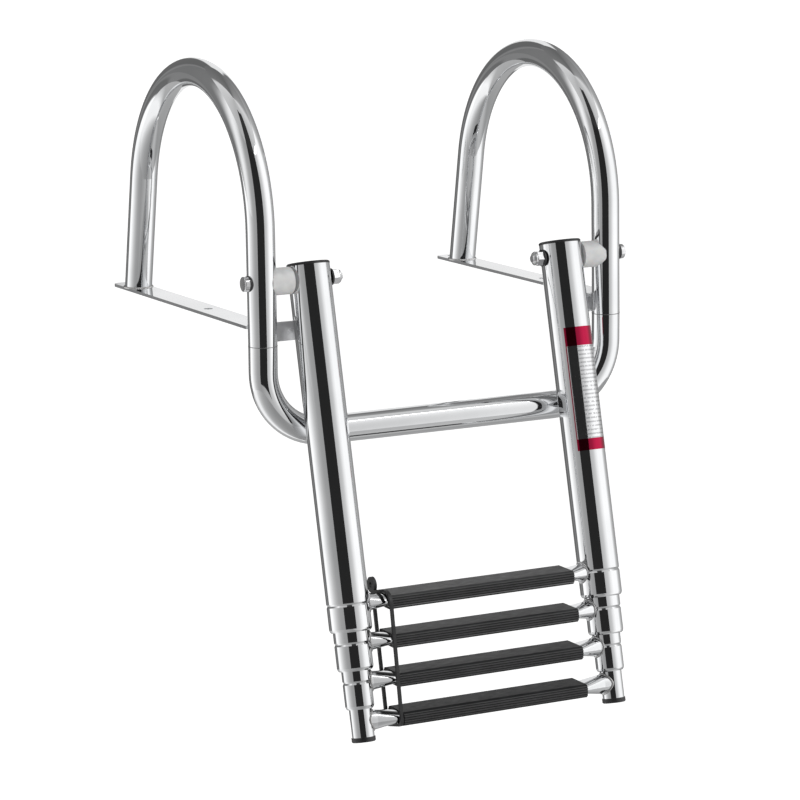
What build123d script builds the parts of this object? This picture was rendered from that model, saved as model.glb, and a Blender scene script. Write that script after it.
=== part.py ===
from build123d import *
import math
import os

# Boat boarding ladder for a swim platform: two handrails on mounting plates, a stand-off tube,
# and a four-step telescopic ladder that hangs on two pivot bolts.
# X runs along the steps, +Y runs aft over the platform, +Z is up. Units are millimetres.
# The origin is the centre of the four mounting holes, on the underside of the plates.

os.makedirs("parts", exist_ok=True)

# --- Mounting plates ---
leg_spacing = 365.0          # between the two front legs, centre to centre
plate_width = 26.0
plate_thickness = 3.0
front_hole_aft = 122.0       # from the front leg's centre, aft to each screw hole
rear_hole_aft = 316.0
plate_end_aft = 328.0
mount_hole_r = 4.25
plate_corner_r = 6.0
plate_front_aft = 8.2        # the plate's front end stops against the back of the front leg

# --- Handrails and stand-off tube ---
rail_r = 13.5                # 27 mm tube
rail_wall = 1.5
pivot_height = 43.0          # pivot bolt above the plates' underside
arch_start_height = 90.0     # where the straight front leg begins to bend
arch_r = 136.5
arch_sweep_deg = 169.0
seam_drop = 15.5             # butt joint below the plates' underside
back_foot_overrun = 8.0      # the back leg is bent this far past the plate's top, then cut level
cut_depth = 30.0             # depth of the level cuts at the bent tubes' ends
stand_off_drop = 100.4       # cross run's centre below the plates' underside
stand_off_set_back = 1.8     # the cross run's centre lies this far aft of the front legs' centres
stand_off_bend_r = 60.0
stand_off_overrun = 2.0      # its ends are bent this far past the butt joints, then cut level
spigot_length = 48.0
spigot_wall = 1.5
spigot_relief = 0.9          # the spigot's lower half is turned down, for the raked stand-off tube
tab_height = 18.0
tab_thickness = 3.0
tab_front_aft = 12.0         # tab's front face behind the leg's centre
tab_reach = 52.0             # tab's tip, inboard of the leg's centre
tab_notch_height = 4.0       # notch that lets the plate lie over the tab

# --- Pivot hardware (M8) ---
bolt_r = 4.0
bolt_length = 97.0
head_r = 7.0
head_height = 3.4
head_washer_r = 7.2
head_washer_thickness = 1.2
saddle_r = 7.5
saddle_crown = 0.8           # saddle washer's thickness where the tube is widest
saddle_wrap = 3.0            # how far the saddle washer reaches round the tube
head_edge_r = 0.8            # rounding of the head's outer edge
bolt_chamfer = 0.8           # at the bolt's tip
nut_flats = 13.0
nut_height = 8.0
nut_washer_r = 8.0
nut_washer_thickness = 1.6
nut_collar_r = 6.3
insert_r = 5.4               # nylon ring in the lock nut's collar
insert_depth = 1.8
insert_recess = 0.3
spacer_r = 12.7
spacer_wrap = 7.3            # how far the spacer's saddle end reaches round the leg
bolt_play = 0.05             # running clearance on radius
face_gap = 0.3               # between faces that turn or slide past each other

# --- Telescopic ladder ---
ladder_spacing = 267.0       # between the two ladder tubes, centre to centre
tube_r = [20.0, 17.0, 13.5, 10.5]
tube_wall = 1.2
tube_top = [-12.5, 26.0, 62.0, 98.0]        # distances down the tube from the pivot
tube_end = [327.0, 363.0, 398.5, 424.5]
rung_at = [302.0, 338.0, 374.0, 410.0]
slide_travel = 250.0
groove_depth = 1.0
groove_half = 1.6
shoulder_in = 1.6            # how far the rolled lower end turns in
shoulder_length = 3.0
shoulder_knee_in = 0.56      # the turned-in end bends twice, once at this depth
shoulder_knee_up = 1.2
shoulder_inside_in = 1.28
bush_play = 0.08

# --- Steps ---
neck_r = 9.5                 # round ends of the step tube
rung_wall = 1.2
flat_half_depth = 12.2       # flattened middle of the step tube
flat_half_height = 5.6
taper_start = 98.0
taper_end = 121.0
rung_trim = 40.0             # past the ladder's end, where step tubes are cut to the ladder tubes
tread_half_length = 97.5
tread_depth = 34.0
tread_height = 13.0
tread_corner_r = 4.5
tread_fit = 0.15
rib_r = 0.75
rib_pitch = 2.3
rib_count = 5
first_rib_drop = 2.4         # first groove below the tread's top
rib_stand_out = 0.25         # the grooves' centres stand outside the tread's skin

# --- Plugs, caps, strap and label ---
plug_flange = 2.6
plug_depth = 6.0
plug_bevel = 0.9
plug_lip = 0.1               # the plug stands out past the tube by this
cap_flange = 4.5
cap_depth = 12.0
cap_bevel = 0.8
cap_lip = 0.7
strap_x = -99.8
strap_width = 3.0
strap_thickness = 2.6
# the strap's outer corners, aft of and above the middle of the first and last steps
strap_corners = [(15.5, 63.5), (-23.5, 63.5), (-15.8, -63.4), (18.0, -63.4)]
strap_corner_r = [5.0, 13.0, 6.0, 7.0]
strap_ear_aft = 14.5
strap_ear_up = 68.5
strap_ear_r = 7.5
strap_ear_hole_r = 2.6
label_thickness = 0.15
label_top = 69.0
label_bottom = 187.0
label_from_deg = -137.0      # round the tube, measured from +X towards +Y
label_to_deg = -17.0

# --- Worked out from the driving dimensions ---
# the ladder leans forward of upright, because its tubes rest on the front of the stand-off tube
rest_drop = pivot_height + stand_off_drop
rest_angle = math.asin((rail_r + tube_r[0] + face_gap) / math.hypot(rest_drop, stand_off_set_back))
lean = rest_angle - math.atan(stand_off_set_back / rest_drop)
pattern_centre_aft = (front_hole_aft + rear_hole_aft) / 2
leg_y = -pattern_centre_aft
leg_x = leg_spacing / 2
ladder_x = ladder_spacing / 2
down = Vector(0, -math.sin(lean), -math.cos(lean))
forward = Vector(0, -math.cos(lean), math.sin(lean))
pivot = Vector(0, leg_y, pivot_height)
sides = [("left", -1), ("right", 1)]


def on_ladder(x, distance):
    """Point on a ladder tube's centre line, a distance down from the pivot."""
    return Vector(x, pivot.Y, pivot.Z) + down * distance


def ladder_plane(x):
    """Plane through a ladder tube's centre line: local x across, local y up the tube."""
    return Plane(origin=on_ladder(x, 0), x_dir=(1, 0, 0), z_dir=forward)


def across_plane(x, y, z):
    """Plane facing +X, with local x aft and local y up."""
    return Plane(origin=(x, y, z), x_dir=(0, 1, 0), z_dir=(1, 0, 0))


def tube_axis(x):
    return Axis(on_ladder(x, 0), down)


def save(part, name):
    part.label = name
    export_step(part, "parts/" + name + ".step")


# --- Handrails: bent tube from the butt joint up, over and down to the plate ---
arch_turn = math.radians(arch_sweep_deg)
arch_end_y = leg_y + arch_r * (1 - math.cos(arch_turn))
arch_end_z = arch_start_height + arch_r * math.sin(arch_turn)
back_leg_slope = math.pi - arch_turn
back_foot_z = plate_thickness - back_foot_overrun
back_foot_y = arch_end_y + (arch_end_z - back_foot_z) * math.tan(back_leg_slope)

for side_name, side in sides:
    x = side * leg_x
    with BuildPart() as handrail:
        with BuildLine() as rail_path:
            Line((x, leg_y, -seam_drop), (x, leg_y, arch_start_height))
            ThreePointArc(
                (x, leg_y, arch_start_height),
                (x, leg_y + arch_r, arch_start_height + arch_r),
                (x, arch_end_y, arch_end_z),
            )
            Line((x, arch_end_y, arch_end_z), (x, back_foot_y, back_foot_z))
        with BuildSketch(Plane.XY.offset(-seam_drop)):
            with Locations((x, leg_y)):
                Circle(rail_r)
                Circle(rail_r - rail_wall, mode=Mode.SUBTRACT)
        sweep(path=rail_path.wires()[0])
        # the back leg is cut level with the plate's top
        with BuildSketch(Plane.XY.offset(plate_thickness)):
            with Locations((x, back_foot_y)):
                Rectangle(4 * rail_r, 4 * rail_r)
        extrude(amount=-cut_depth, mode=Mode.SUBTRACT)
        # bolt holes through the front leg
        with BuildSketch(across_plane(x, leg_y, pivot_height)):
            Circle(bolt_r + bolt_play)
        extrude(amount=2 * rail_r, both=True, mode=Mode.SUBTRACT)
    save(handrail.part, "handrail_" + side_name)

# --- Stand-off tube: one bent tube that holds the ladder clear of the hull, raked a little aft ---
rake = math.atan(stand_off_set_back / (stand_off_drop - seam_drop))
stand_off_fall = (stand_off_drop - seam_drop) / math.cos(rake)
stand_off_plane = Plane(
    origin=(0, leg_y, -seam_drop),
    x_dir=(1, 0, 0),
    z_dir=(0, -math.cos(rake), -math.sin(rake)),
)
with BuildPart() as stand_off:
    with BuildLine(stand_off_plane) as stand_off_path:
        FilletPolyline(
            (-leg_x, stand_off_overrun),
            (-leg_x, -stand_off_fall),
            (leg_x, -stand_off_fall),
            (leg_x, stand_off_overrun),
            radius=stand_off_bend_r,
        )
    stand_off_start = stand_off_plane.from_local_coords((-leg_x, stand_off_overrun, 0))
    with BuildSketch(Plane(origin=stand_off_start, x_dir=(1, 0, 0), z_dir=stand_off_plane.y_dir)):
        Circle(rail_r)
        Circle(rail_r - rail_wall, mode=Mode.SUBTRACT)
    sweep(path=stand_off_path.wires()[0])
    # both ends are cut level at the butt joints
    with BuildSketch(Plane.XY.offset(-seam_drop)):
        with Locations((-leg_x, leg_y), (leg_x, leg_y)):
            Rectangle(4 * rail_r, 4 * rail_r)
    extrude(amount=cut_depth, mode=Mode.SUBTRACT)
save(stand_off.part, "stand_off_tube")

# --- Spigots inside the butt joints ---
spigot_r = rail_r - rail_wall
for side_name, side in sides:
    with BuildPart() as spigot:
        with BuildSketch(Plane.XY.offset(-seam_drop)):
            with Locations((side * leg_x, leg_y)):
                Circle(spigot_r)
        extrude(amount=spigot_length / 2)
        with BuildSketch(Plane.XY.offset(-seam_drop)):
            with Locations((side * leg_x, leg_y)):
                Circle(spigot_r - spigot_relief)
        extrude(amount=-spigot_length / 2)
        with BuildSketch(Plane.XY.offset(-seam_drop)):
            with Locations((side * leg_x, leg_y)):
                Circle(spigot_r - spigot_relief - spigot_wall)
        extrude(amount=spigot_length, both=True, mode=Mode.SUBTRACT)
    save(spigot.part, "joining_spigot_" + side_name)

# --- Mounting plates: flat bar coped to the front leg, two screw holes each ---
plate_front_y = leg_y + plate_front_aft
plate_end_y = leg_y + plate_end_aft
for side_name, side in sides:
    x = side * leg_x
    with BuildPart() as plate:
        with BuildSketch(Plane.XY):
            with Locations((x, (plate_front_y + plate_end_y) / 2)):
                Rectangle(plate_width, plate_end_y - plate_front_y)
            with Locations((x, leg_y)):
                Circle(rail_r, mode=Mode.SUBTRACT)
            with Locations((x, leg_y + front_hole_aft), (x, leg_y + rear_hole_aft)):
                Circle(mount_hole_r, mode=Mode.SUBTRACT)
        extrude(amount=plate_thickness)
        back_edges = plate.edges().filter_by(Axis.Z).group_by(Axis.Y)[-1]
        fillet(back_edges, radius=plate_corner_r)
    save(plate.part, "mounting_plate_" + side_name)

# --- Edge tabs: upright flats welded behind the front legs, bearing on the platform's edge ---
for side_name, side in sides:
    x = side * leg_x
    tab_y = leg_y + tab_front_aft + tab_thickness / 2
    with BuildPart() as tab:
        with BuildSketch(Plane.XY.offset(plate_thickness - tab_height)):
            with Locations((x - side * tab_reach / 2, tab_y)):
                Rectangle(tab_reach, tab_thickness)
            with Locations((x, leg_y)):
                Circle(rail_r, mode=Mode.SUBTRACT)
        extrude(amount=tab_height)
        with BuildSketch(Plane.XY):
            with Locations((x, tab_y)):
                Rectangle(plate_width, 3 * tab_thickness)
        extrude(amount=tab_notch_height, mode=Mode.SUBTRACT)
    save(tab.part, "edge_tab_" + side_name)

# --- Pivot hardware, from the outside inwards ---
saddle_face = leg_x + rail_r + saddle_crown
head_seat = saddle_face + head_washer_thickness
tube_inner_face = ladder_x - tube_r[0]
nut_washer_face = tube_inner_face - face_gap
nut_seat = nut_washer_face - nut_washer_thickness
spacer_outer_face = leg_x - rail_r + spacer_wrap


def pivot_plane(side, reach):
    """Plane across a pivot bolt, a distance out from the middle, facing the middle."""
    return Plane(origin=(side * reach, leg_y, pivot_height), x_dir=(0, 1, 0), z_dir=(-side, 0, 0))


for side_name, side in sides:
    with BuildPart() as bolt:
        with BuildSketch(pivot_plane(side, head_seat + head_height)):
            Circle(head_r)
        extrude(amount=head_height)
        outer_face = bolt.faces().sort_by(Axis.X)[-1 if side > 0 else 0]
        fillet(outer_face.edges(), radius=head_edge_r)
        with BuildSketch(pivot_plane(side, head_seat)):
            Circle(bolt_r)
        extrude(amount=bolt_length)
        tip_face = bolt.faces().sort_by(Axis.X)[0 if side > 0 else -1]
        chamfer(tip_face.edges(), length=bolt_chamfer)
    save(bolt.part, "pivot_bolt_" + side_name)

with BuildPart() as head_washers:
    for side_name, side in sides:
        with BuildSketch(pivot_plane(side, head_seat)):
            Circle(head_washer_r)
            Circle(bolt_r + bolt_play, mode=Mode.SUBTRACT)
        extrude(amount=head_washer_thickness)
save(head_washers.part, "head_washers")

with BuildPart() as saddle_washers:
    for side_name, side in sides:
        with BuildSketch(pivot_plane(side, saddle_face)):
            Circle(saddle_r)
            Circle(bolt_r + bolt_play, mode=Mode.SUBTRACT)
        extrude(amount=saddle_crown + saddle_wrap)
        with BuildSketch(Plane.XY):
            with Locations((side * leg_x, leg_y)):
                Circle(rail_r)
        extrude(amount=2 * pivot_height, mode=Mode.SUBTRACT)
save(saddle_washers.part, "saddle_washers")

for side_name, side in sides:
    with BuildPart() as spacer:
        with BuildSketch(pivot_plane(side, spacer_outer_face)):
            Circle(spacer_r)
            Circle(bolt_r + bolt_play, mode=Mode.SUBTRACT)
        extrude(amount=spacer_outer_face - ladder_x - tube_r[0] - face_gap)
        with BuildSketch(Plane.XY):
            with Locations((side * leg_x, leg_y)):
                Circle(rail_r)
        extrude(amount=2 * pivot_height, mode=Mode.SUBTRACT)
    save(spacer.part, "pivot_spacer_" + side_name)

with BuildPart() as nut_washers:
    for side_name, side in sides:
        with BuildSketch(pivot_plane(side, nut_washer_face)):
            Circle(nut_washer_r)
            Circle(bolt_r + bolt_play, mode=Mode.SUBTRACT)
        extrude(amount=nut_washer_thickness)
save(nut_washers.part, "nut_washers")

for side_name, side in sides:
    with BuildPart() as nut:
        with BuildSketch(pivot_plane(side, nut_seat)):
            RegularPolygon(nut_flats / 2, 6, major_radius=False)
        extrude(amount=nut_height - insert_depth)
        with BuildSketch(pivot_plane(side, nut_seat - nut_height + insert_depth)):
            Circle(nut_collar_r)
        extrude(amount=insert_depth)
        with BuildSketch(pivot_plane(side, nut_seat - nut_height + insert_depth)):
            Circle(insert_r)
        extrude(amount=insert_depth, mode=Mode.SUBTRACT)
        with BuildSketch(pivot_plane(side, nut_seat)):
            Circle(bolt_r + bolt_play)
        extrude(amount=nut_height, mode=Mode.SUBTRACT)
    save(nut.part, "lock_nut_" + side_name)

with BuildPart() as nut_inserts:
    for side_name, side in sides:
        with BuildSketch(pivot_plane(side, nut_seat - nut_height + insert_depth)):
            Circle(insert_r)
            Circle(bolt_r + bolt_play, mode=Mode.SUBTRACT)
        extrude(amount=insert_depth - insert_recess)
save(nut_inserts.part, "lock_nut_inserts")

# --- Ladder tubes: each has a rolled groove at its step and a turned-in lower end,
#     except the innermost, which takes an end cap ---
for stage in range(4):
    outer = tube_r[stage]
    inner = outer - tube_wall
    top = tube_top[stage]
    end = tube_end[stage]
    groove = rung_at[stage]
    for side_name, side in sides:
        x = side * ladder_x
        with BuildPart() as tube:
            with BuildSketch(ladder_plane(x)):
                with BuildLine():
                    if stage < 3:
                        Polyline(
                            (inner, -top),
                            (outer, -top),
                            (outer, -groove + groove_half),
                            (outer - groove_depth, -groove),
                            (outer, -groove - groove_half),
                            (outer, -end + shoulder_length),
                            (outer - shoulder_knee_in, -end + shoulder_knee_up),
                            (outer - shoulder_in, -end),
                            (inner - shoulder_inside_in, -end),
                            (inner, -end + shoulder_length),
                            (inner, -groove - groove_half),
                            (inner - groove_depth, -groove),
                            (inner, -groove + groove_half),
                            (inner, -top),
                        )
                    else:
                        Polyline(
                            (inner, -top),
                            (outer, -top),
                            (outer, -end),
                            (inner, -end),
                            (inner, -top),
                        )
                make_face()
            revolve(axis=tube_axis(x))
            if stage == 0:
                with BuildSketch(across_plane(x, leg_y, pivot_height)):
                    Circle(bolt_r + bolt_play)
                extrude(amount=2 * outer, both=True, mode=Mode.SUBTRACT)
        save(tube.part, "ladder_tube_%d_%s" % (stage + 1, side_name))


# --- Guide bushes: an upper one round the top of each sliding tube, which stops on the
#     groove outside it, and a lower one held in the end of each outer tube ---
for stage in range(1, 4):
    bore = tube_r[stage - 1] - tube_wall
    bush_end = rung_at[stage - 1] - groove_half - face_gap - slide_travel
    bush_outer = bore - bush_play
    with BuildPart() as upper_bushes:
        for side_name, side in sides:
            with BuildSketch(ladder_plane(side * ladder_x)):
                with Locations(((bush_outer + tube_r[stage]) / 2, -(tube_top[stage] + bush_end) / 2)):
                    Rectangle(bush_outer - tube_r[stage], bush_end - tube_top[stage])
            revolve(axis=tube_axis(side * ladder_x))
    save(upper_bushes.part, "upper_bushes_%d" % (stage + 1))

for stage in range(3):
    bore = tube_r[stage] - tube_wall
    bush_start = rung_at[stage] + groove_half + face_gap
    bush_finish = tube_end[stage] - shoulder_length - face_gap
    bush_inner = tube_r[stage + 1] + bush_play
    with BuildPart() as lower_bushes:
        for side_name, side in sides:
            with BuildSketch(ladder_plane(side * ladder_x)):
                with Locations(((bore + bush_inner) / 2, -(bush_start + bush_finish) / 2)):
                    Rectangle(bore - bush_inner, bush_finish - bush_start)
            revolve(axis=tube_axis(side * ladder_x))
    save(lower_bushes.part, "lower_bushes_%d" % (stage + 1))

# --- Top plugs of the outer tubes and end caps of the innermost tubes ---
plug_bore = tube_r[0] - tube_wall
for side_name, side in sides:
    x = side * ladder_x
    with BuildPart() as plug:
        with BuildSketch(ladder_plane(x)):
            with BuildLine():
                Polyline(
                    (0, -tube_top[0] + plug_flange),
                    (tube_r[0] - plug_bevel, -tube_top[0] + plug_flange),
                    (tube_r[0] + plug_lip, -tube_top[0] + plug_flange - plug_bevel),
                    (tube_r[0] + plug_lip, -tube_top[0]),
                    (plug_bore, -tube_top[0]),
                    (plug_bore, -tube_top[0] - plug_depth),
                    (0, -tube_top[0] - plug_depth),
                    (0, -tube_top[0] + plug_flange),
                )
            make_face()
        revolve(axis=tube_axis(x))
    save(plug.part, "top_plug_" + side_name)

cap_bore = tube_r[3] - tube_wall
for side_name, side in sides:
    x = side * ladder_x
    with BuildPart() as cap:
        with BuildSketch(ladder_plane(x)):
            with BuildLine():
                Polyline(
                    (0, -tube_end[3] - cap_flange),
                    (tube_r[3] - cap_bevel + cap_lip, -tube_end[3] - cap_flange),
                    (tube_r[3] + cap_lip, -tube_end[3] - cap_flange + cap_bevel),
                    (tube_r[3] + cap_lip, -tube_end[3]),
                    (cap_bore, -tube_end[3]),
                    (cap_bore, -tube_end[3] + cap_depth),
                    (0, -tube_end[3] + cap_depth),
                    (0, -tube_end[3] - cap_flange),
                )
            make_face()
        revolve(axis=tube_axis(x))
    save(cap.part, "end_cap_" + side_name)

# --- Steps: a round tube flattened under the tread, welded to its pair of ladder tubes ---
rung_sections = [
    (-ladder_x, neck_r, neck_r),
    (-taper_end, neck_r, neck_r),
    (-taper_start, flat_half_depth, flat_half_height),
    (taper_start, flat_half_depth, flat_half_height),
    (taper_end, neck_r, neck_r),
    (ladder_x, neck_r, neck_r),
]
for stage in range(4):
    centre = on_ladder(0, rung_at[stage])
    with BuildPart() as rung:
        for inset, mode in ((0, Mode.ADD), (rung_wall, Mode.SUBTRACT)):
            for first, second in zip(rung_sections[:-1], rung_sections[1:]):
                for section_x, section_depth, section_height in (first, second):
                    with BuildSketch(across_plane(section_x, centre.Y, centre.Z)):
                        Ellipse(section_depth - inset, section_height - inset)
                loft(mode=mode)
        for side_name, side in sides:
            with BuildSketch(Plane(origin=on_ladder(side * ladder_x, 0), z_dir=down)):
                Circle(tube_r[stage])
            extrude(amount=tube_end[3] + rung_trim, mode=Mode.SUBTRACT)
    save(rung.part, "step_tube_%d" % (stage + 1))

# --- Treads: ribbed black sleeves over the flattened part of each step ---
half_depth = tread_depth / 2
half_height = tread_height / 2
rib_rows = [half_height - first_rib_drop - rib_pitch * row for row in range(rib_count)]
for stage in range(4):
    centre = on_ladder(0, rung_at[stage])
    with BuildPart() as tread:
        with BuildSketch(across_plane(-tread_half_length, centre.Y, centre.Z)):
            RectangleRounded(tread_depth, tread_height, tread_corner_r)
            Ellipse(flat_half_depth + tread_fit, flat_half_height + tread_fit, mode=Mode.SUBTRACT)
            for row in rib_rows:
                inset = max(0.0, abs(row) - (half_height - tread_corner_r))
                edge = half_depth - tread_corner_r + math.sqrt(tread_corner_r ** 2 - inset ** 2)
                with Locations((-edge - rib_stand_out, row), (edge + rib_stand_out, row)):
                    Circle(rib_r, mode=Mode.SUBTRACT)
        extrude(amount=2 * tread_half_length)
    save(tread.part, "tread_%d" % (stage + 1))

# --- Stowing strap: a rubber loop round the first and last steps, with a holed pull ear ---
strap_middle = (on_ladder(strap_x, rung_at[0]) + on_ladder(strap_x, rung_at[3])) * 0.5
with BuildPart() as strap:
    strap_plane = Plane(
        origin=strap_middle - Vector(strap_width / 2, 0, 0),
        x_dir=-forward,
        z_dir=(1, 0, 0),
    )
    with BuildSketch(strap_plane):
        with BuildLine():
            FilletPolyline(*strap_corners, radius=strap_corner_r, close=True)
        make_face()
    extrude(amount=strap_width)
    with BuildSketch(strap_plane):
        with Locations((strap_ear_aft, strap_ear_up)):
            Circle(strap_ear_r)
    extrude(amount=strap_width)
    with BuildSketch(strap_plane):
        with BuildLine():
            FilletPolyline(*strap_corners, radius=strap_corner_r, close=True)
        make_face()
        offset(amount=-strap_thickness, mode=Mode.REPLACE)
        with Locations((strap_ear_aft, strap_ear_up)):
            Circle(strap_ear_hole_r)
    extrude(amount=strap_width, mode=Mode.SUBTRACT)
save(strap.part, "stowing_strap")

# --- Safety label: a thin film wrapped on the right outer tube ---
def label_corner(angle_deg, reach):
    """Corner of the wedge that cuts the label's film out of a full ring."""
    turn = math.radians(-angle_deg)
    return (reach * math.cos(turn), reach * math.sin(turn))


wedge_reach = 2 * tube_r[0]
wedge_tip = 3 * tube_r[0]
label_middle_deg = (label_from_deg + label_to_deg) / 2
with BuildPart() as label:
    label_plane = Plane(origin=on_ladder(ladder_x, label_top), x_dir=(1, 0, 0), z_dir=down)
    with BuildSketch(label_plane):
        Circle(tube_r[0] + label_thickness)
        Circle(tube_r[0], mode=Mode.SUBTRACT)
        with BuildLine():
            Polyline(
                (0, 0),
                label_corner(label_from_deg, wedge_reach),
                label_corner(label_middle_deg, wedge_tip),
                label_corner(label_to_deg, wedge_reach),
                (0, 0),
            )
        make_face(mode=Mode.INTERSECT)
    extrude(amount=label_bottom - label_top)
save(label.part, "safety_label")
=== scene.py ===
import math

import bmesh
import bpy
from mathutils import Matrix, Vector


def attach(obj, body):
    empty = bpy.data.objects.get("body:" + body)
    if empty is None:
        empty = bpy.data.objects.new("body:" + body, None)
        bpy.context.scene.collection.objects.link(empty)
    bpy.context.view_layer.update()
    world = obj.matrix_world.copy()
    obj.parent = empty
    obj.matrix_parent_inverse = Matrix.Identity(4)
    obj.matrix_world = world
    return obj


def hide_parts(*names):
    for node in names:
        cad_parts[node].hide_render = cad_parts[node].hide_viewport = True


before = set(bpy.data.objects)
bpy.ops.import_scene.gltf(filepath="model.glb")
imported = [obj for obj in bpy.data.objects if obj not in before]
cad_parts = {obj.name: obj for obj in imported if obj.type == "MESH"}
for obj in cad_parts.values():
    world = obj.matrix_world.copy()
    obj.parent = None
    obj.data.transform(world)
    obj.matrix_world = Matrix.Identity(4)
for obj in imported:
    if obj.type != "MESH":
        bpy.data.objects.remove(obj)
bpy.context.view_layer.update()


# --- Camera ---
# A long lens, off the ladder's left front corner and a little above it.
camera = bpy.data.objects.new("camera", bpy.data.cameras.new("camera"))
bpy.context.scene.collection.objects.link(camera)
camera.data.sensor_width = 36
camera.data.lens = 150.88
camera.data.clip_end = 200
camera.matrix_world = Matrix((
    (0.889483, 0.095682, -0.446838, -1.45095),
    (-0.456718, 0.153819, -0.876213, -2.98174),
    (-0.015106, 0.983455, 0.180519, 0.48952),
    (0, 0, 0, 1),
))
bpy.context.scene.camera = camera
camera_turn = -27.02
bpy.context.scene.view_settings.view_transform = "Standard"


# --- Room ---
# A white room over a pale matt floor, which lies below the ladder's full reach.
# Bright to the mirror finish, and a little dimmer to everything dull.
room = bpy.data.worlds.new("white_room")
room.use_nodes = True
bpy.context.scene.world = room
room_glow = room.node_tree.nodes["Background"]
room_glow.inputs["Color"].default_value = (1, 1, 1, 1)
ray_kind = room.node_tree.nodes.new("ShaderNodeLightPath")
room_level = room.node_tree.nodes.new("ShaderNodeMapRange")
mirrored_level = 1.22
dull_level = 0.62
room_level.inputs["To Min"].default_value = mirrored_level
room_level.inputs["To Max"].default_value = dull_level
room.node_tree.links.new(ray_kind.outputs["Is Diffuse Ray"], room_level.inputs["Value"])
room.node_tree.links.new(room_level.outputs["Result"], room_glow.inputs["Strength"])

floor_height = -1.2
floor_reach = 60
bm = bmesh.new()
bmesh.ops.create_grid(bm, x_segments=1, y_segments=1, size=floor_reach)
bmesh.ops.translate(bm, verts=bm.verts, vec=(0, 0, floor_height))
floor_mesh = bpy.data.meshes.new("floor")
bm.to_mesh(floor_mesh)
bm.free()
floor = bpy.data.objects.new("floor", floor_mesh)
bpy.context.scene.collection.objects.link(floor)
pale_floor = bpy.data.materials.new("pale_floor")
pale_floor.use_nodes = True
floor_shader = pale_floor.node_tree.nodes["Principled BSDF"]
floor_shader.inputs["Base Color"].default_value = (0.84, 0.84, 0.84, 1)
floor_shader.inputs["Roughness"].default_value = 0.7
floor_shader.inputs["Emission Color"].default_value = (1, 1, 1, 1)
floor_shader.inputs["Emission Strength"].default_value = 0.5
floor_mesh.materials.append(pale_floor)

key_lamp = bpy.data.objects.new("key_lamp", bpy.data.lights.new("key_lamp", "AREA"))
bpy.context.scene.collection.objects.link(key_lamp)
key_lamp.data.size = 1.6
key_lamp.data.energy = 34
key_lamp.location = (1.1, -2.2, 2.4)
lamp_aim = Vector((0, -0.1, -0.1))
key_lamp.rotation_euler = (lamp_aim - key_lamp.location).to_track_quat("-Z", "Y").to_euler()


# --- Reflector cards ---
# Cards stood round the ladder for its mirror finish to show. Only reflections see them.
# Angles are round the ladder from the camera, to the right, and brightness runs between them.
card_steps = 96


def card(name, edge, from_angle, to_angle, brightness):
    """A card spun from one upright or level edge about the room's middle.

    Brightness lists pairs of an angle and a level.
    """
    bm = bmesh.new()
    ends = [bm.verts.new(point) for point in edge]
    bm.edges.new(ends)
    turn = Matrix.Rotation(math.radians(camera_turn + from_angle), 3, "Z")
    bmesh.ops.rotate(bm, verts=bm.verts, cent=(0, 0, 0), matrix=turn)
    bmesh.ops.spin(bm, geom=bm.verts[:] + bm.edges[:], cent=(0, 0, 0), axis=(0, 0, 1),
                   angle=math.radians(to_angle - from_angle), steps=card_steps, use_merge=False)
    mesh = bpy.data.meshes.new(name)
    bm.to_mesh(mesh)
    bm.free()
    material = bpy.data.materials.new(name)
    material.use_nodes = True
    tree = material.node_tree
    tree.nodes.remove(tree.nodes["Principled BSDF"])
    turned = tree.nodes.new("ShaderNodeMapping")
    turned.inputs["Rotation"].default_value = (0, 0, math.radians(-camera_turn))
    tree.links.new(tree.nodes.new("ShaderNodeTexCoord").outputs["Object"], turned.inputs["Vector"])
    split = tree.nodes.new("ShaderNodeSeparateXYZ")
    tree.links.new(turned.outputs["Vector"], split.inputs["Vector"])
    away = tree.nodes.new("ShaderNodeMath")
    away.operation = "MULTIPLY"
    away.inputs[1].default_value = -1
    tree.links.new(split.outputs["Y"], away.inputs[0])
    angle = tree.nodes.new("ShaderNodeMath")
    angle.operation = "ARCTAN2"
    tree.links.new(split.outputs["X"], angle.inputs[0])
    tree.links.new(away.outputs["Value"], angle.inputs[1])
    share = tree.nodes.new("ShaderNodeMapRange")
    share.inputs["From Min"].default_value = -math.pi
    share.inputs["From Max"].default_value = math.pi
    tree.links.new(angle.outputs["Value"], share.inputs["Value"])
    ramp = tree.nodes.new("ShaderNodeValToRGB")
    while len(ramp.color_ramp.elements) < len(brightness):
        ramp.color_ramp.elements.new(0.5)
    for element, (at, level) in zip(ramp.color_ramp.elements, brightness):
        element.position = (at + 180) / 360
        element.color = (level, level, level, 1)
    tree.links.new(share.outputs["Result"], ramp.inputs["Fac"])
    glow = tree.nodes.new("ShaderNodeEmission")
    glow.inputs["Strength"].default_value = mirrored_level
    tree.links.new(ramp.outputs["Color"], glow.inputs["Color"])
    tree.links.new(glow.outputs["Emission"], tree.nodes["Material Output"].inputs["Surface"])
    mesh.materials.append(material)
    piece = bpy.data.objects.new(name, mesh)
    bpy.context.scene.collection.objects.link(piece)
    piece.visible_camera = False
    piece.visible_diffuse = False
    piece.visible_shadow = False
    piece.visible_transmission = False


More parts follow.
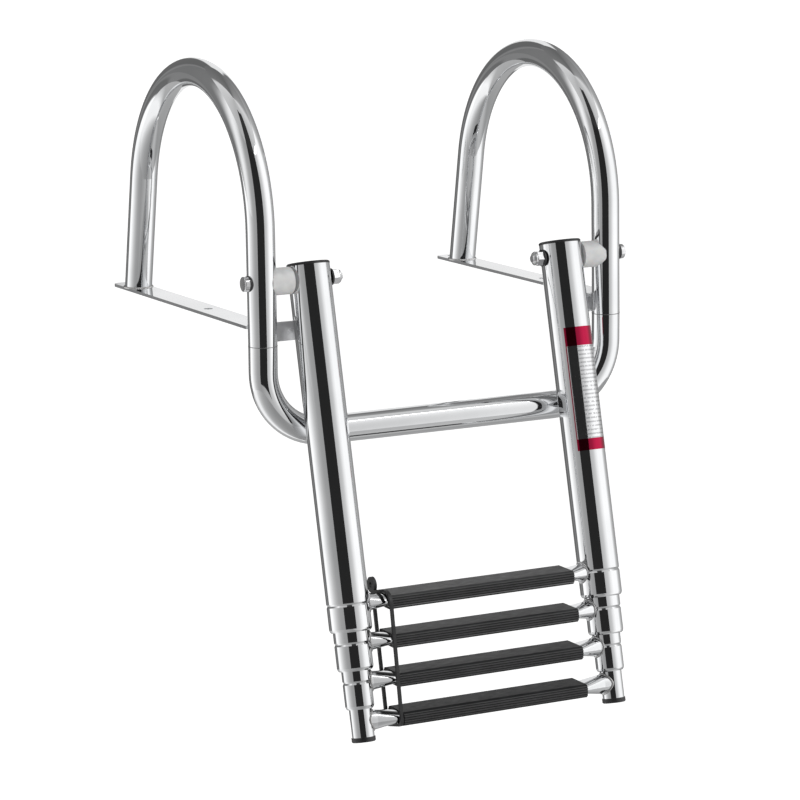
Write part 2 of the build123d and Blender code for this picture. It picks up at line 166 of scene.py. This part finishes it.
ceiling = 2.6
wall_reach = 2.4
card_gap = 0.05
floor_card_height = floor_height + 0.01
upper_reach = 2.35
upper_bottom = 0.05
dark_reach = 2.3
dark_bottom = -0.8
dark_inner = 0.6
dark_from = -21
dark_to = 30
card("surround_card", [(0, -wall_reach, floor_height), (0, -wall_reach, ceiling)], -180, 180,
     [(-180, 0.74), (-171, 0.74), (-168, 0.12), (-137, 0.12), (-134, 0.2), (-124, 0.2),
      (-121, 0.13), (-110, 0.14), (-107, 1.0), (-92, 1.0), (-78, 0.78), (-64, 0.56), (-52, 0.42),
      (-40, 0.33), (-21, 0.29), (30, 0.44), (47, 0.56), (59, 0.8), (71, 0.96), (100, 0.96),
      (108, 0.68), (120, 0.4), (140, 0.3), (168, 0.15), (171, 0.74), (180, 0.74)])
card("floor_card", [(0, -0.05, floor_card_height), (0, -wall_reach, floor_card_height)], -180, 180,
     [(-180, 0.35), (-120, 0.4), (-100, 0.9), (-75, 0.85), (-60, 0.6), (-42, 0.42), (-25, 0.34), (9, 0.26),
      (25, 0.25), (42, 0.34), (60, 0.47), (80, 0.45), (103, 0.3), (180, 0.35)])
card("ceiling_card", [(0, -0.02, ceiling), (0, -wall_reach, ceiling)], -180, 180,
     [(-180, 0.12), (-114, 0.16), (-108, 0.6), (-40, 0.42), (40, 0.46), (100, 0.62), (116, 0.3),
      (180, 0.12)])
card("upper_left_card", [(0, -upper_reach, upper_bottom), (0, -upper_reach, ceiling - card_gap)], -130, -44,
     [(-130, 0.16), (-106, 0.17), (-98, 0.3), (-89, 0.56), (-80, 0.78), (-73, 0.82), (-64, 0.74),
      (-56, 0.58), (-50, 0.44), (-44, 0.36)])
card("dark_card", [(0, -dark_reach, dark_bottom), (0, -dark_reach, ceiling - card_gap)],
     dark_from, dark_to, [(-180, 0.018), (180, 0.018)])
card("dark_ceiling_card", [(0, -dark_inner, ceiling - card_gap), (0, -dark_reach, ceiling - card_gap)],
     dark_from, dark_to, [(-180, 0.03), (180, 0.03)])


# --- Handrails and stand-off tube ---
# 27 mm stainless tube, bent cold and polished to a mirror. The two lower ends of the
# rails are butted on spigots to the one tube that stands the ladder off the hull.
def start_finish(name):
    """A new material, its shader, and the piece's own coordinates to pattern it by."""
    material = bpy.data.materials.new(name)
    material.use_nodes = True
    tree = material.node_tree
    place = tree.nodes.new("ShaderNodeTexCoord").outputs["Object"]
    return material, tree, tree.nodes["Principled BSDF"], place


def speckle(tree, place, scale, stretch=(1, 1, 1), detail=3):
    """Noise, finer in the directions where stretch is larger."""
    mapping = tree.nodes.new("ShaderNodeMapping")
    mapping.inputs["Scale"].default_value = stretch
    noise = tree.nodes.new("ShaderNodeTexNoise")
    noise.inputs["Scale"].default_value = scale
    noise.inputs["Detail"].default_value = detail
    tree.links.new(place, mapping.inputs["Vector"])
    tree.links.new(mapping.outputs["Vector"], noise.inputs["Vector"])
    return noise.outputs["Fac"]


def between(tree, share, low, high, socket):
    """Runs a number socket from low to high as share goes through the middle of its range."""
    spread = tree.nodes.new("ShaderNodeMapRange")
    spread.inputs["From Min"].default_value = 0.3
    spread.inputs["From Max"].default_value = 0.7
    spread.inputs["To Min"].default_value = low
    spread.inputs["To Max"].default_value = high
    tree.links.new(share, spread.inputs["Value"])
    tree.links.new(spread.outputs["Result"], socket)


def two_tone(tree, share, dark, light, socket):
    """Runs a colour socket between two colours."""
    ramp = tree.nodes.new("ShaderNodeValToRGB")
    for element, at, colour in zip(ramp.color_ramp.elements, (0.32, 0.68), (dark, light)):
        element.position = at
        element.color = (*colour, 1)
    tree.links.new(share, ramp.inputs["Fac"])
    tree.links.new(ramp.outputs["Color"], socket)


def relief(tree, shader, height, depth, strength=1.0):
    """Fine relief of that depth in metres, added to any that the shader already has."""
    bump = tree.nodes.new("ShaderNodeBump")
    bump.inputs["Strength"].default_value = strength
    bump.inputs["Distance"].default_value = depth
    tree.links.new(height, bump.inputs["Height"])
    if shader.inputs["Normal"].links:
        tree.links.new(shader.inputs["Normal"].links[0].from_socket, bump.inputs["Normal"])
    tree.links.new(bump.outputs["Normal"], shader.inputs["Normal"])


polish_depth = 0.0000005


def steel(name, rough, polishing, dark=(0.78, 0.79, 0.8), light=(0.86, 0.865, 0.875)):
    """Stainless steel, polished in lines that are fine where polishing is large."""
    material, tree, shader, place = start_finish(name)
    shader.inputs["Metallic"].default_value = 1.0
    cloud = speckle(tree, place, 14, detail=4)
    two_tone(tree, cloud, dark, light, shader.inputs["Base Color"])
    lines = speckle(tree, place, 1, polishing, detail=2)
    between(tree, lines, 0.7 * rough, 1.3 * rough, shader.inputs["Roughness"])
    relief(tree, shader, lines, polish_depth)
    return material


def finish_nodes(material, *names):
    for name in names:
        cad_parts[name].material_slots[0].material = material


rail_steel = steel("mirror_rail_steel", 0.045, (500, 500, 2200))
finish_nodes(rail_steel, "handrail_left", "handrail_right", "stand_off_tube",
             "joining_spigot_left", "joining_spigot_right")

leg_x = 0.1825
leg_y = -0.219
rail_radius = 0.0135


# --- Welds ---
# Thin fused beads in the same steel, left bright from pickling: round the feet of the
# rails, behind the front legs, round each end of the steps, and the ground butt joints.
weld_steel = steel("weld_steel", 0.16, (900, 900, 900), (0.6, 0.59, 0.58), (0.82, 0.82, 0.83))


def make_piece(bm, name, material, body, sharp=40):
    """A piece from a finished bmesh, smooth but for edges turned by more than sharp degrees."""
    mesh = bpy.data.meshes.new(name)
    bm.to_mesh(mesh)
    bm.free()
    mesh.materials.append(material)
    mesh.shade_smooth()
    mesh.set_sharp_from_angle(angle=math.radians(sharp))
    piece = bpy.data.objects.new(name, mesh)
    bpy.context.scene.collection.objects.link(piece)
    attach(piece, body)
    return piece


ripple_pitch = 0.0013
steps_per_ripple = 5


def level_joint(angle):
    """A bead round a square joint is not lifted anywhere."""
    return 0.0


def bead(bm, size, thickness, place, rise=level_joint, from_angle=0, to_angle=360, ripple=0.13):
    """Adds a rippled bead round a joint.

    rise lifts it at each angle, and place moves it to the joint.
    """
    ring = bmesh.ops.create_circle(bm, segments=10, radius=thickness)["verts"]
    bmesh.ops.rotate(bm, verts=ring, cent=(0, 0, 0), matrix=Matrix.Rotation(math.pi / 2, 3, "X"))
    bmesh.ops.translate(bm, verts=ring, vec=(size, 0, 0))
    bmesh.ops.rotate(bm, verts=ring, cent=(0, 0, 0),
                     matrix=Matrix.Rotation(math.radians(from_angle), 3, "Z"))
    edges = [edge for edge in bm.edges if edge.verts[0] in ring and edge.verts[1] in ring]
    turn = math.radians(to_angle - from_angle)
    ripples = max(6, round(size * turn / ripple_pitch))
    whole = to_angle - from_angle == 360
    before = set(bm.verts) - set(ring)
    bmesh.ops.spin(bm, geom=ring + edges, cent=(0, 0, 0), axis=(0, 0, 1), angle=turn,
                   steps=ripples * steps_per_ripple, use_merge=whole)
    made = [vert for vert in bm.verts if vert not in before]
    if not whole:
        bmesh.ops.holes_fill(bm, edges=[edge for edge in bm.edges if edge.is_boundary])
    for vert in made:
        angle = math.atan2(vert.co.y, vert.co.x)
        middle = Vector((size * math.cos(angle), size * math.sin(angle), 0))
        swell = 1 + ripple * (math.cos(angle * ripples * 2 * math.pi / turn) + 0.6 * math.sin(3 * angle))
        vert.co = middle + (vert.co - middle) * swell
        vert.co.z += rise(angle)
    bmesh.ops.transform(bm, matrix=place, verts=made)


foot_y = 0.07347             # middle of the back leg's foot
plate_top = 0.003
plate_bead = 0.0011          # thickness of the beads on top of and under the plate
under_bead = 0.0009
slanted_fit = 0.0002         # the slanting back leg's foot is this much wider than the tube
cope_from = 42               # the plate meets the leg between these angles
cope_to = 138
under_from = 62              # under the plate the bead starts further round, on the outer side
bm = bmesh.new()
for side in (-1, 1):
    bead(bm, rail_radius + slanted_fit, plate_bead, Matrix.Translation((side * leg_x, foot_y, plate_top)))
    bead(bm, rail_radius, plate_bead, Matrix.Translation((side * leg_x, leg_y, plate_top)),
         from_angle=cope_from, to_angle=cope_to)
    bead(bm, rail_radius, under_bead, Matrix.Translation((side * leg_x, leg_y, 0)),
         from_angle=under_from if side > 0 else cope_from,
         to_angle=cope_to if side > 0 else 180 - under_from)
bmesh.ops.recalc_face_normals(bm, faces=bm.faces)
make_piece(bm, "rail_welds", weld_steel, "rail_frame")

joint_steel = steel("ground_joint_steel", 0.3, (900, 900, 900), (0.16, 0.16, 0.16), (0.3, 0.3, 0.3))
seam_height = -0.0155
seam_sunk = 0.0002
seam_bead = 0.0004
bm = bmesh.new()
for side in (-1, 1):
    bead(bm, rail_radius - seam_sunk, seam_bead, Matrix.Translation((side * leg_x, leg_y, seam_height)),
         ripple=0)
bmesh.ops.recalc_face_normals(bm, faces=bm.faces)
make_piece(bm, "butt_joint_lines", joint_steel, "rail_frame")


# --- Mounting plates and edge tabs ---
# Flat bar, sheared and polished on its faces, with two drilled holes a side. The upright
# tabs behind the front legs are the same bar, duller because the buffing wheel can't reach.
plate_steel = steel("polished_plate_steel", 0.09, (1800, 140, 1800))
tab_steel = steel("buffed_tab_steel", 0.34, (90, 90, 400), (0.84, 0.84, 0.85), (0.9, 0.9, 0.905))
finish_nodes(plate_steel, "mounting_plate_left", "mounting_plate_right")
finish_nodes(tab_steel, "edge_tab_left", "edge_tab_right")


# --- Pivot bolts ---
# M8 bolts through the front legs and the ladder's outer tubes. The low round heads are
# forged and turned bright, and the threads are rolled.
fastener_steel = steel("fastener_steel", 0.16, (1500, 1500, 1500), (0.7, 0.7, 0.71), (0.84, 0.84, 0.85))
pivot_height = 0.043
head_radius = 0.007
head_height = 0.0034
head_edge_radius = 0.0008
bolt_radius = 0.004
thread_pitch = 0.00125
thread_root = 0.00335
thread_turns = 14
steps_per_turn = 30
ridge_base = 0.94            # the ridge's foot and its crest, in pitches back from its front edge
ridge_crest = (0.53, 0.41)
core_overlap = 0.0001
tip_slope = 0.9              # how the thread runs out at the bolt's tip
bolt_length = 0.097
head_seat = 0.198


def across_bolt(side, reach):
    """Where a bolt's own upright axis runs inwards from reach."""
    return Matrix((
        (0, 0, -side, side * reach),
        (1, 0, 0, leg_y),
        (0, -side, 0, pivot_height),
        (0, 0, 0, 1),
    ))


for side_name, side in (("left", -1), ("right", 1)):
    bm = bmesh.new()
    head = bmesh.ops.create_cone(bm, cap_ends=True, segments=64, radius1=head_radius,
                                 radius2=head_radius, depth=head_height)["verts"]
    bmesh.ops.translate(bm, verts=head, vec=(0, 0, -head_height / 2))
    rim = [edge for edge in bm.edges if all(vert.co.z < -head_height / 2 for vert in edge.verts)]
    bmesh.ops.bevel(bm, geom=rim, offset=head_edge_radius, affect="EDGES", segments=5, profile=0.5,
                    material=-1)
    plain = bolt_length - thread_turns * thread_pitch
    shank = bmesh.ops.create_cone(bm, cap_ends=True, segments=48, radius1=bolt_radius,
                                  radius2=bolt_radius, depth=plain)["verts"]
    bmesh.ops.translate(bm, verts=shank, vec=(0, 0, plain / 2))
    core = bmesh.ops.create_cone(bm, cap_ends=True, segments=48, radius1=thread_root,
                                 radius2=thread_root, depth=bolt_length - plain)["verts"]
    bmesh.ops.translate(bm, verts=core, vec=(0, 0, (bolt_length + plain) / 2 - core_overlap))
    ridge = [bm.verts.new((radius, 0, plain - lower * thread_pitch)) for radius, lower in
             ((thread_root, ridge_base), (bolt_radius, ridge_crest[0]), (bolt_radius, ridge_crest[1]),
              (thread_root, 0.0))]
    ridge_edges = [bm.edges.new(pair) for pair in zip(ridge[:-1], ridge[1:])]
    before = set(bm.verts) - set(ridge)
    bmesh.ops.spin(bm, geom=ridge + ridge_edges, cent=(0, 0, 0), axis=(0, 0, 1),
                   dvec=(0, 0, thread_pitch / steps_per_turn), angle=2 * math.pi * thread_turns,
                   steps=steps_per_turn * thread_turns, use_merge=False)
    for vert in set(bm.verts) - before:
        to_tip = bolt_length - vert.co.z
        limit = thread_root + max(0.0, to_tip) * tip_slope
        reach = math.hypot(vert.co.x, vert.co.y)
        if reach > limit:
            vert.co.x *= limit / reach
            vert.co.y *= limit / reach
    bmesh.ops.transform(bm, matrix=across_bolt(side, head_seat), verts=bm.verts)
    bmesh.ops.recalc_face_normals(bm, faces=bm.faces)
    bolt = make_piece(bm, "round_head_bolt_" + side_name, fastener_steel, "rail_frame",
                      sharp=25)
    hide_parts("pivot_bolt_" + side_name)


# --- Washers, lock nuts and pivot spacers ---
# Stamped flat washers under the heads, lock nuts with a nylon ring, and turned nylon
# spacers that the ladder swings against.
finish_nodes(fastener_steel, "head_washers", "lock_nut_left", "lock_nut_right")

nylon, tree, shader, place = start_finish("white_nylon")
two_tone(tree, speckle(tree, place, 90), (0.5, 0.5, 0.5), (0.6, 0.6, 0.595), shader.inputs["Base Color"])
turning = speckle(tree, place, 1, (2600, 160, 160))
between(tree, turning, 0.42, 0.6, shader.inputs["Roughness"])
relief(tree, shader, turning, 0.00001, 0.6)
shader.inputs["Subsurface Weight"].default_value = 0.08
shader.inputs["Subsurface Scale"].default_value = 0.002
finish_nodes(nylon, "pivot_spacer_left", "pivot_spacer_right", "lock_nut_inserts")


# --- Telescopic ladder tubes ---
# Four sizes of drawn stainless tube, 40, 34, 27 and 21 mm, polished to the same mirror.
# A groove rolled round each holds its lower bush, and the lower end is rolled in.
ladder_steel = steel("mirror_ladder_steel", 0.04, (500, 500, 2200))
finish_nodes(ladder_steel, *["ladder_tube_%d_%s" % (stage, side_name)
                             for stage in (1, 2, 3, 4) for side_name in ("left", "right")])

bush_nylon, tree, shader, place = start_finish("bush_nylon")
two_tone(tree, speckle(tree, place, 300), (0.02, 0.02, 0.022), (0.05, 0.05, 0.052),
         shader.inputs["Base Color"])
between(tree, speckle(tree, place, 700), 0.45, 0.65, shader.inputs["Roughness"])
finish_nodes(bush_nylon, "upper_bushes_2", "upper_bushes_3", "upper_bushes_4",
             "lower_bushes_1", "lower_bushes_2", "lower_bushes_3")


# --- Step tubes ---
# Round tube, pressed flat under the tread, so its ends taper from round. Each end is
# coped to its ladder tube and welded all round with a thin bead.
step_steel = steel("mirror_step_steel", 0.06, (2200, 500, 500))
finish_nodes(step_steel, *["step_tube_%d" % stage for stage in (1, 2, 3, 4)])

ladder_x = 0.1335
tube_radii = (0.02, 0.017, 0.0135, 0.0105)
step_drops = (0.302, 0.338, 0.374, 0.41)
rest_gap = 0.0003            # between the ladder and the stand-off tube that it leans on
rest_drop = 0.1434
set_back = 0.0018
rest_reach = rail_radius + tube_radii[0] + rest_gap
lean = math.asin(rest_reach / math.hypot(rest_drop, set_back)) - math.atan(set_back / rest_drop)
down = Vector((0, -math.sin(lean), -math.cos(lean)))
forward = Vector((0, -math.cos(lean), math.sin(lean)))
pivot = Vector((0, leg_y, pivot_height))
neck_radius = 0.0095
neck_fit = 0.0002
neck_bead = 0.001
for stage, (tube_radius, step_at) in enumerate(zip(tube_radii, step_drops)):
    bm = bmesh.new()
    for side in (-1, 1):
        centre = pivot + down * step_at + Vector((side * ladder_x, 0, 0))
        place = Matrix((
            (0, 0, -side, centre.x),
            (forward.y, -down.y, 0, centre.y),
            (forward.z, -down.z, 0, centre.z),
            (0, 0, 0, 1),
        ))
        bead(bm, neck_radius + neck_fit, neck_bead, place,
             lambda angle: math.sqrt(max(0.0, tube_radius ** 2 - (neck_radius * math.cos(angle)) ** 2)))
    bmesh.ops.recalc_face_normals(bm, faces=bm.faces)
    make_piece(bm, "step_welds_%d" % (stage + 1), weld_steel, "ladder_section_%d" % (stage + 1))


# --- Treads ---
# Extruded black rubber sleeves with fine ribs along both edges, pushed over the flattened
# steps before welding. The grooves get little shine and the crests much, as painted shade in
# the grooves; each tread's top gets less shine than the one above, as painted shade; and the
# lowest crest carries a painted highlight.
def measure(tree, place, direction, start):
    """How far the surface lies along a direction, past start, in metres."""
    along = tree.nodes.new("ShaderNodeVectorMath")
    along.operation = "DOT_PRODUCT"
    along.inputs[1].default_value = direction
    tree.links.new(place, along.inputs[0])
    return sum_up(tree, "SUBTRACT", along.outputs["Value"], start)


def sum_up(tree, operation, first, second):
    """One Math node. Each side is a socket or a number."""
    node = tree.nodes.new("ShaderNodeMath")
    node.operation = operation
    for socket, value in zip(node.inputs, (first, second)):
        if isinstance(value, (int, float)):
            socket.default_value = value
        else:
            tree.links.new(value, socket)
    return node.outputs["Value"]


rubber, tree, shader, place = start_finish("tread_rubber")
tread_drop = (step_drops[1] - step_drops[0]) * math.cos(lean)
tread_half_height = 0.0065
top_lift = 0.001             # the pattern starts this far above each tread's top
edge_from = 0.0014           # below the top, where the ribbed edge starts
first_groove = 0.0024
half_pitch = 0.00115         # from a groove to the next crest
shaded_groove_shine = 0.04
crest_gain = 0.95
first_top_shine = 0.56
top_shade_step = -0.13       # painted shade: each tread's top has less shine than the one above
# A painted highlight: the lowest crest is coloured light grey.
highlight_from_top = 0.01045
highlight_half_width = 0.0005
highlight_fade_step = 0.32             # the painted highlight is fainter on each lower tread
start = -(pivot + down * step_drops[0]).z - tread_half_height - top_lift
below = measure(tree, place, Vector((0, 0, -1)), start)
which = sum_up(tree, "DIVIDE", below, tread_drop)
depth = sum_up(tree, "MULTIPLY", sum_up(tree, "FRACT", which, 0), tread_drop)
on_edge = sum_up(tree, "GREATER_THAN", depth, top_lift + edge_from)
# Painted shade: the grooves get little shine and the crests much, so the grooves read dark.
crest = sum_up(tree, "PINGPONG", sum_up(tree, "SUBTRACT", depth, top_lift + first_groove), half_pitch)
crest_shine = sum_up(tree, "MULTIPLY_ADD", crest, crest_gain / half_pitch)
crest_shine.node.inputs[2].default_value = shaded_groove_shine
# Painted shade: each tread's top gets less shine than the one above.
top_shine = sum_up(tree, "MULTIPLY_ADD", sum_up(tree, "FLOOR", which, 0), top_shade_step)
top_shine.node.inputs[2].default_value = first_top_shine
shine = tree.nodes.new("ShaderNodeMix")
tree.links.new(on_edge, shine.inputs["Factor"])
tree.links.new(top_shine, shine.inputs["A"])
tree.links.new(crest_shine, shine.inputs["B"])
tree.links.new(shine.outputs["Result"], shader.inputs["Specular IOR Level"])
# Painted highlight: light grey mixed into the rubber along the lowest crest, fainter on each lower tread.
highlight_row = sum_up(tree, "COMPARE", depth, top_lift + highlight_from_top)
highlight_row.node.inputs[2].default_value = highlight_half_width
highlight_left = sum_up(tree, "SUBTRACT", 1.0, sum_up(tree, "MULTIPLY", which, highlight_fade_step))
painted_highlight = sum_up(tree, "MULTIPLY", highlight_row, highlight_left)
rubber_with_painted_highlight = tree.nodes.new("ShaderNodeMix")
rubber_with_painted_highlight.data_type = "RGBA"
rubber_with_painted_highlight.clamp_factor = True
rubber_with_painted_highlight.inputs["B"].default_value = (0.13, 0.13, 0.132, 1)
two_tone(tree, speckle(tree, place, 60, detail=5), (0.008, 0.008, 0.0085), (0.016, 0.016, 0.017),
         rubber_with_painted_highlight.inputs["A"])
tree.links.new(painted_highlight, rubber_with_painted_highlight.inputs["Factor"])
tree.links.new(rubber_with_painted_highlight.outputs["Result"], shader.inputs["Base Color"])
between(tree, speckle(tree, place, 1, (120, 900, 900)), 0.38, 0.56, shader.inputs["Roughness"])
relief(tree, shader, speckle(tree, place, 1500, detail=2), 0.00003, 0.5)
finish_nodes(rubber, "tread_1", "tread_2", "tread_3", "tread_4")


# --- Top plugs, end caps and black washers ---
# Moulded black plastic, smooth and slightly glossy: pressed into the tube ends, cut to the
# round legs under the bolt heads, and flat under the nuts.
plastic, tree, shader, place = start_finish("black_plastic")
two_tone(tree, speckle(tree, place, 200), (0.012, 0.012, 0.013), (0.022, 0.022, 0.023),
         shader.inputs["Base Color"])
between(tree, speckle(tree, place, 500), 0.25, 0.4, shader.inputs["Roughness"])
relief(tree, shader, speckle(tree, place, 1200), 0.00002, 0.4)
finish_nodes(plastic, "top_plug_left", "top_plug_right", "end_cap_left", "end_cap_right",
             "saddle_washers", "nut_washers")


# --- Stowing strap ---
# A moulded rubber loop, stretched over the first and last steps to hold the ladder closed.
# It has a holed ear to pull it off by.
strap_rubber, tree, shader, place = start_finish("strap_rubber")
two_tone(tree, speckle(tree, place, 120), (0.01, 0.01, 0.011), (0.02, 0.02, 0.021),
         shader.inputs["Base Color"])
between(tree, speckle(tree, place, 400), 0.4, 0.6, shader.inputs["Roughness"])
relief(tree, shader, speckle(tree, place, 900), 0.00003, 0.5)
finish_nodes(strap_rubber, "stowing_strap")


# --- Safety label ---
# A clear film wrapped on the right outer tube, so the steel shines through it. It has a
# red band at each end, a thin red edge, and plain grey rows between, with no lettering.
film, tree, shader, place = start_finish("label_film")
band_until = 0.087           # distances down the tube from the pivot
band_again_from = 0.176
red_edge_from = 134          # degrees round the tube, from the outer side towards the front
rows_until = 104
row_pitch = 0.0038
row_share = 0.42
ink = 0.45
ink_above = 0.4              # the rows are inked where the speckle is above this
drop = measure(tree, place, down, pivot.dot(down))
ahead = measure(tree, place, forward, pivot.dot(forward))
across = measure(tree, place, Vector((1, 0, 0)), ladder_x)
round_tube = sum_up(tree, "ARCTAN2", ahead, across)
top_band = sum_up(tree, "LESS_THAN", drop, band_until)
end_band = sum_up(tree, "GREATER_THAN", drop, band_again_from)
left_edge = sum_up(tree, "GREATER_THAN", round_tube, math.radians(red_edge_from))
red = sum_up(tree, "MAXIMUM", sum_up(tree, "MAXIMUM", top_band, end_band), left_edge)
row = sum_up(tree, "FRACT", sum_up(tree, "MULTIPLY", drop, 1 / row_pitch), 0)
in_row = sum_up(tree, "LESS_THAN", row, row_share)
in_margin = sum_up(tree, "LESS_THAN", round_tube, math.radians(rows_until))
marks = sum_up(tree, "GREATER_THAN", speckle(tree, place, 1, (700, 700, 260), 1), ink_above)
printed = sum_up(tree, "MULTIPLY", sum_up(tree, "MULTIPLY", in_row, in_margin), marks)
printed = sum_up(tree, "MULTIPLY", printed, ink)
clear_and_grey = tree.nodes.new("ShaderNodeMix")
clear_and_grey.data_type = "RGBA"
clear_and_grey.inputs["A"].default_value = (0.84, 0.845, 0.855, 1)
clear_and_grey.inputs["B"].default_value = (0.16, 0.16, 0.17, 1)
tree.links.new(printed, clear_and_grey.inputs["Factor"])
with_red = tree.nodes.new("ShaderNodeMix")
with_red.data_type = "RGBA"
with_red.inputs["B"].default_value = (0.46, 0.016, 0.062, 1)
tree.links.new(red, with_red.inputs["Factor"])
tree.links.new(clear_and_grey.outputs["Result"], with_red.inputs["A"])
tree.links.new(with_red.outputs["Result"], shader.inputs["Base Color"])
shader.inputs["Metallic"].default_value = 1.0
between(tree, speckle(tree, place, 300), 0.07, 0.12, shader.inputs["Roughness"])
finish_nodes(film, "safety_label")
